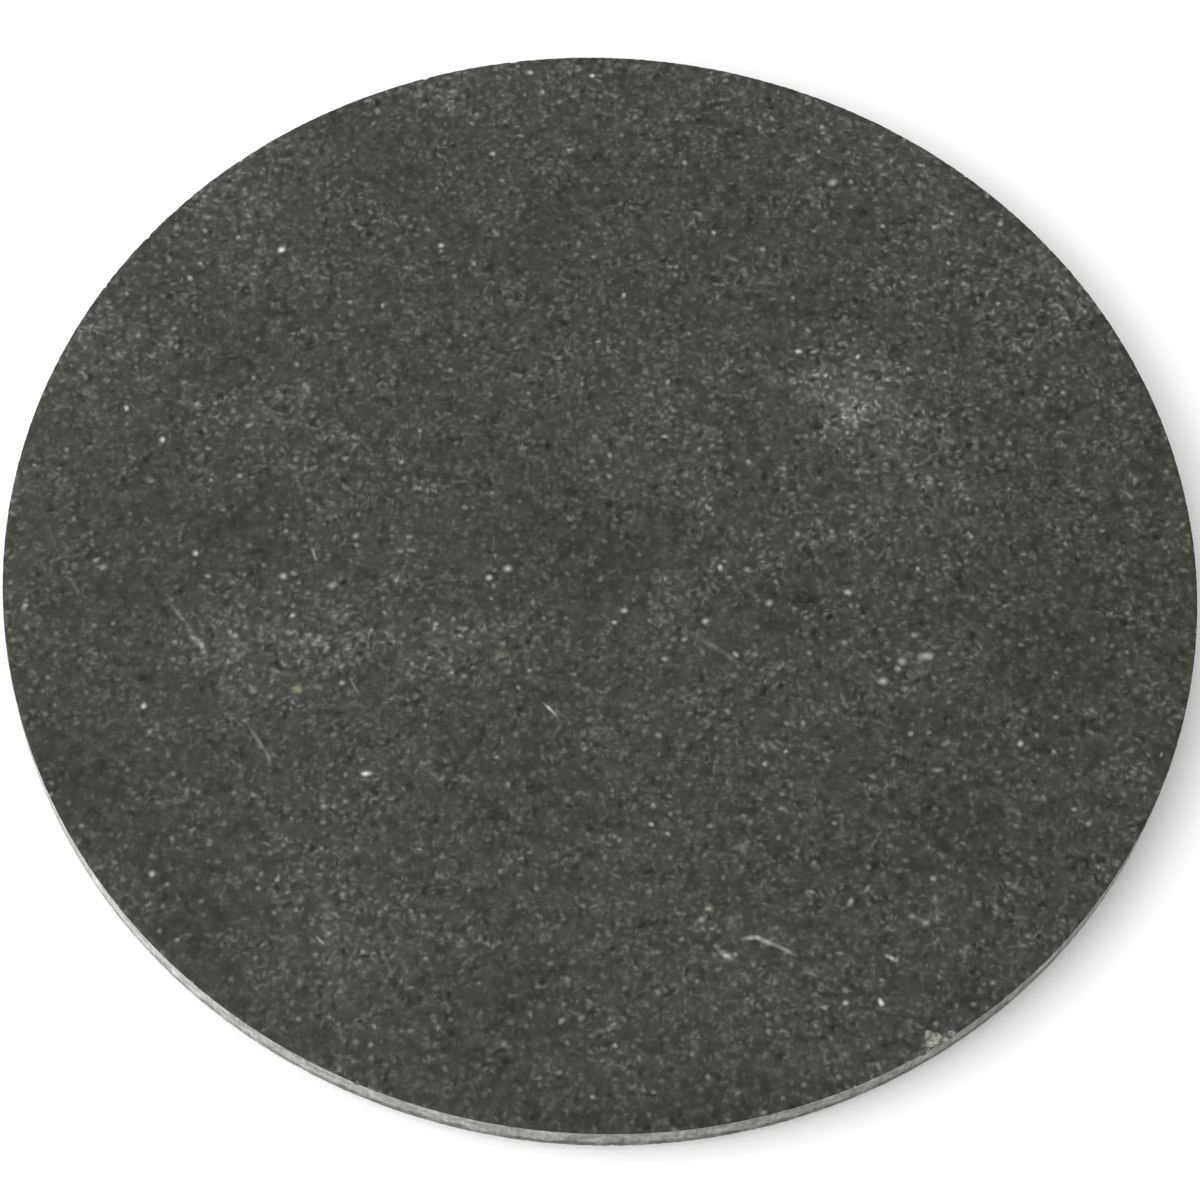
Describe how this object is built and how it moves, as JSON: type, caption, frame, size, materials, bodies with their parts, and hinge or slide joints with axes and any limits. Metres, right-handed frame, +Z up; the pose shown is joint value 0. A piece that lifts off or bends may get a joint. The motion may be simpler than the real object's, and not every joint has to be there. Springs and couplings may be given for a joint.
{
  "type": "granite work slab",
  "caption": "Thin round honed granite slab on low rubber feet: a hard, flat, heavy bench surface for stamping, skiving and punching leather.",
  "frame": {"origin": "on the surface that the slab stands on, under the middle of the stone", "axes": "+Z up, out of the working face; +X to the right and -Y towards the user, so the feet lie on the four diagonals"},
  "size_m": [0.305, 0.305, 0.0131],
  "materials": {
    "granite": "satin",
    "foot_rubber": "matte",
    "foam_tape": "matte"
  },
  "bodies": {
    "root": {"granite_disc": "granite", "foot_tape_front_left": "foam_tape", "foot_tape_front_right": "foam_tape", "foot_tape_back_left": "foam_tape", "foot_tape_back_right": "foam_tape", "rubber_foot_front_left": "foot_rubber", "rubber_foot_front_right": "foot_rubber", "rubber_foot_back_left": "foot_rubber", "rubber_foot_back_right": "foot_rubber"}
  },
  "joints": []
}
